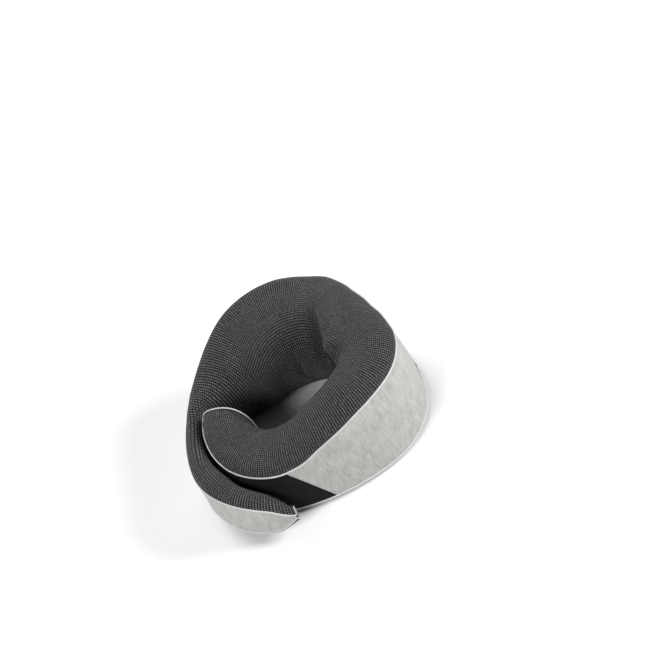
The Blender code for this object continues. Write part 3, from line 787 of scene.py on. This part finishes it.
def tip_line(last):
    """Round the end of an arm, over the knit's own edge from the upper to the lower rim."""
    side = math.copysign(1.0, last)
    curve, _ = even(inner_curve(last), 90)
    return place(last, curve[:, 0], curve[:, 1], side * -TIP_CORD_BACK)


def tip_run(first, last, radius, tip_share):
    """The cord's line up to the tip, round it and back, and its radius, least round the tip."""
    side = math.copysign(1.0, last)
    near = last - side * TIP_TURN
    out, over, home = rim_line(first, near, upper_rim), tip_line(last), \
        rim_line(near, first, lower_rim)
    line = np.concatenate([out, over, home])
    tip = np.concatenate([np.zeros(len(out)), np.ones(len(over)), np.zeros(len(home))])
    return smooth(line), radius * (1 - (1 - tip_share) * smooth(tip[:, None], 12)[:, 0])


def smooth(line, rounds=3):
    for _ in range(rounds):
        line = np.concatenate([line[:1], 0.25 * line[:-2] + 0.5 * line[1:-1] + 0.25 * line[2:],
                               line[-1:]])
    return line


for key, first, last, how in STRETCHES:
    if key in ("a2", "b2"):
        tip, radius = (TIP_A, PIPING_RADIUS) if key == "a2" else (TIP_B, THIN_PIPING_RADIUS)
        line, radii = tip_run(first, tip, radius, TIP_PIPING_SHARES[key])
        cords = [tube("piping_" + key, line, radii, PIPING)]
    else:
        cords = [tube(f"piping_{level}_{key}", rim_line(first, last, height), PIPING_RADIUS, PIPING)
                 for level, height in (("top", upper_rim), ("bottom", lower_rim))]
    for cord_piece, stood_for in zip(cords, PIPING_NODES[key]):
        move(cord_piece, how)
        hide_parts(*stood_for)


# the panels that close the two ends
def end_panel(name, row, side, material, dome, node, body):
    ring = np.concatenate([knit[row][1:-1], band[row][1:-1]])
    hub = ring.mean(0)
    x, y, heading = (float(v) for v in edge(stations[row]))
    ahead = np.array([math.cos(heading), math.sin(heading), 0.0]) * side
    shares = np.linspace(1.0, 0.0, 14)[:-1]
    front = np.array([hub + (ring - hub) * k + ahead * (dome * (1 - k ** 2.2) + PANEL_GAP) * MM
                      for k in shares])
    count, columns = front.shape[:2]
    top = hub + ahead * (dome + PANEL_GAP) * MM
    back_shift = -ahead * PANEL_THICK * MM
    points = np.concatenate([front.reshape(-1, 3), [top], (front + back_shift).reshape(-1, 3),
                             [top + back_shift]])
    half = count * columns + 1
    faces = []
    for r in range(count - 1):
        for k in range(columns):
            n = (k + 1) % columns
            a, b = r * columns + k, r * columns + n
            c, d = b + columns, a + columns
            faces.append((a, b, c, d))
            faces.append((a + half, d + half, c + half, b + half))
    for k in range(columns):
        n = (k + 1) % columns
        a, b = (count - 1) * columns + k, (count - 1) * columns + n
        faces.append((a, b, half - 1))
        faces.append((a + half, 2 * half - 1, b + half))
        faces.append((k, k + half, n + half, n))
    if side > 0:
        faces = [f[::-1] for f in faces]
    flat = points / MM
    panel = add(name, points, faces, material,
                {"along": flat[:, 0] + flat[:, 1], "across": flat[:, 2],
                 "line": flat[:, 2] / ROW_PITCH[0][1], "squeeze": np.ones(len(flat))})
    faces_out(panel)
    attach(panel, body)
    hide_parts(node)


def faces_out(obj):
    bm = bmesh.new()
    bm.from_mesh(obj.data)
    bmesh.ops.recalc_face_normals(bm, faces=bm.faces)
    bm.to_mesh(obj.data)
    bm.free()


end_panel("end_panel_arm_a", len(stations) - 1, 1.0, LOOP, 2.4, "end_cap_arm_a", "arm_a")
end_panel("end_panel_end_b", 0, -1.0, KNIT, 1.0, "end_cap_end_b", "end_b")


# ------------------------------------------------------------------ hook-and-loop patches
def loop_patch():
    """Brushed patch over the band of arm A, from a slanted start to the tip."""
    share = np.linspace(0.0, 1.0, LOOP_COLUMNS)
    starts = [LOOP_START_BOTTOM + (LOOP_START_TOP - LOOP_START_BOTTOM) * k for k in share]
    s = np.array([np.linspace(start, TIP_A - LOOP_TIP_GAP, LOOP_ROWS) for start in starts]).T
    low, high = lower_rim(s) + LOOP_INSET, upper_rim(s) - LOOP_INSET
    z = low + (high - low) * share[None, :]
    from_rims = np.minimum(share[None, :] * (high - low), (1 - share[None, :]) * (high - low))
    from_edge = np.minimum(from_rims, np.arange(LOOP_ROWS)[:, None] * LOOP_ROW_STEP)
    proud = LOOP_EDGE_PROUD + LOOP_CROWN * np.clip(from_edge / LOOP_ROUNDING, 0, 1) ** 0.5
    face = place(s, -bulge(s, z) - proud, z)
    out = normals(face)
    probe = place(s, -bulge(s, z) - proud - 1.0, z) - face
    sign = 1.0 if float((out * probe).sum()) > 0 else -1.0
    piece = shell("loop_pile_patch", face, out * sign, LOOP_THICK, LOOP,
                  {"along": s, "across": z}, sign)
    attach(piece, "arm_a")
    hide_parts("loop_patch")


def hook_patch():
    """Moulded hook tape on the inside of the thin end."""
    rows = rows_between(*HOOK_RANGE)
    columns = slice(*(int(knit.shape[1] * share) for share in HOOK_SPAN))
    out = knit_out[rows, columns]
    face = knit[rows, columns] + out * HOOK_PROUD * MM
    piece = shell("hook_tape_patch", face, out, HOOK_THICK, HOOK, {}, outward_knit)
    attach(piece, "end_b")
    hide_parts("hook_patch")


loop_patch()
hook_patch()


# ------------------------------------------------------------------ zip
def wall(name, s_range, low, high, proud, thick, material, rows=3):
    """Flat strip round the back at a height, standing proud of the outer face."""
    s = spread(s_range[0], s_range[1], 2.0)[:, None]
    z = np.linspace(low, high, rows)[None, :]
    edge_soft = 0.35 * (np.abs(np.linspace(-1, 1, rows)) ** 4)[None, :]
    face = place(s, -(proud - edge_soft) + 0 * z, z + 0 * s)
    out = normals(face)
    probe = place(s, -(proud + 1.0) + 0 * z, z + 0 * s) - face
    sign = 1.0 if float((out * probe).sum()) > 0 else -1.0
    s_all, z_all = np.broadcast_arrays(s, z)
    return shell(name, face, out * sign, thick, material, {"along": s_all, "across": z_all}, sign)


for word, (low, high) in TAPE_HEIGHTS.items():
    strip = wall("zip_tape_cloth_" + word, (-TAPE_HALF, TAPE_HALF), low, high, 0.0, TAPE_THICK,
                 TAPE)
    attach(strip, "back")
    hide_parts("zip_tape_" + word)

hem = wall("band_hem_below_zip", (-NOTCH_HALF, NOTCH_HALF), HEM_LOW, HEM_HIGH, HEM_PROUD,
           HEM_THICK, BAND, rows=7)
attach(hem, "back")


def coil_row(side):
    """One row of the nylon coil, its loops reaching across to the other row."""
    turns = int(2 * (ZIP_HALF - 1) / COIL_PITCH)
    t = np.arange(turns * COIL_POINTS) / COIL_POINTS
    s = -ZIP_HALF + 1 + t * COIL_PITCH + (0.5 * COIL_PITCH if side > 0 else 0.0)
    z = ZIP_HEIGHT + side * (0.75 + 0.85 * np.cos(2 * math.pi * t))
    out = 0.15 + 0.45 * np.sin(2 * math.pi * t)
    return tube("coil_row", place(s, -out, z), COIL_THREAD, COIL, sides=6)


coil = joined("zip_coil_teeth", [coil_row(1.0), coil_row(-1.0)], COIL)
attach(coil, "back")
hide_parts("zip_coil")


def stitches(name, s_range, height, proud, body):
    """A row of machine stitches, each a short rounded thread."""
    parts = []
    s = s_range[0]
    while s < s_range[1]:
        t = np.linspace(0, 1, 6)
        rise = proud + 0.12 * np.sin(math.pi * t) - 0.1
        parts.append(tube("stitch", place(s + STITCH_LENGTH * t, -rise, height + 0 * t),
                          STITCH_RADIUS, THREAD, sides=6))
        s += STITCH_PITCH
    row = joined(name, parts, THREAD)
    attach(row, body)


STITCH_RANGE = (-NOTCH_HALF + 3, NOTCH_HALF - 5)
for word, (height, proud) in STITCH_ROWS.items():
    stitches("zip_stitches_" + word, STITCH_RANGE, height, proud, "back")

for name in ("zip_slider", "zip_pull", "zip_stop_closed", "zip_stop_open"):
    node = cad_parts[name]
    for slot_number in range(len(node.material_slots)):
        node.material_slots[slot_number].material = METAL
    if not node.material_slots:
        node.data.materials.append(METAL)
    rounding = node.modifiers.new("rounding", "BEVEL")
    rounding.width = METAL_ROUNDING * MM
    rounding.segments = 2
    rounding.limit_method = "ANGLE"

# ------------------------------------------------------------------ studio
scene = bpy.context.scene
scene.view_settings.view_transform = "Standard"


def floor():
    f = Fabric("pale_floor", 0.75)
    mottle = f.noise(6.0, 3.0)
    f.colour(mottle, ((0.3, (0.92, 0.92, 0.92)), (0.7, (0.95, 0.95, 0.95))))
    mesh = bpy.data.meshes.new("floor")
    size = 6.0
    mesh.from_pydata([(-size, -size, 0), (size, -size, 0), (size, size, 0), (-size, size, 0)], [],
                     [(0, 1, 2, 3)])
    mesh.materials.append(f.material)
    obj = bpy.data.objects.new("floor", mesh)
    obj.location.z = -0.0004
    bpy.context.scene.collection.objects.link(obj)


def lamp(name, where, aim, size, power, colour=(1, 1, 1)):
    data = bpy.data.lights.new(name, "AREA")
    data.shape = "DISK"
    data.size, data.energy, data.color = size, power, colour
    obj = bpy.data.objects.new(name, data)
    obj.location = where
    obj.rotation_euler = (Vector(aim) - Vector(where)).to_track_quat("-Z", "Y").to_euler()
    bpy.context.scene.collection.objects.link(obj)


floor()
world = bpy.data.worlds.new("studio")
scene.world = world
world.use_nodes = True
world.node_tree.nodes["Background"].inputs[0].default_value = (0.97, 0.98, 1.0, 1.0)
world.node_tree.nodes["Background"].inputs[1].default_value = 0.09
CENTRE = (0.0, 0.0, 0.06)
lamp("key", (1.60, 1.25, 1.22), CENTRE, 1.1, 58.0)
lamp("front", (0.30, -1.90, 1.40), CENTRE, 1.3, 40.0)
lamp("left", (-1.75, 0.35, 1.35), CENTRE, 1.6, 34.0)

# the camera looks down on the closed end, rolled as if the pillow hung tilted from a handle
TO_CAMERA = Vector((0.565, -0.381, 0.731)).normalized()
LEVEL_RIGHT = Vector((0.559, 0.829, 0.0)).normalized()
LEVEL_UP = TO_CAMERA.cross(LEVEL_RIGHT).normalized()
ROLL = math.radians(30.0)
AIM = Vector((-0.0199, 0.1060, 0.0707))
CAMERA_DISTANCE, FRAME_WIDTH, SENSOR = 5.0, 0.7194, 36.0
up = LEVEL_UP * math.cos(ROLL) + LEVEL_RIGHT * math.sin(ROLL)
right = LEVEL_RIGHT * math.cos(ROLL) - LEVEL_UP * math.sin(ROLL)
camera = bpy.data.objects.new("camera", bpy.data.cameras.new("camera"))
scene.collection.objects.link(camera)
camera.data.sensor_width = SENSOR
camera.data.lens = SENSOR * CAMERA_DISTANCE / FRAME_WIDTH
camera.data.clip_end = 50.0
turn = Matrix((right, up, TO_CAMERA)).transposed().to_4x4()
camera.matrix_world = Matrix.Translation(AIM + TO_CAMERA * CAMERA_DISTANCE) @ turn
scene.camera = camera
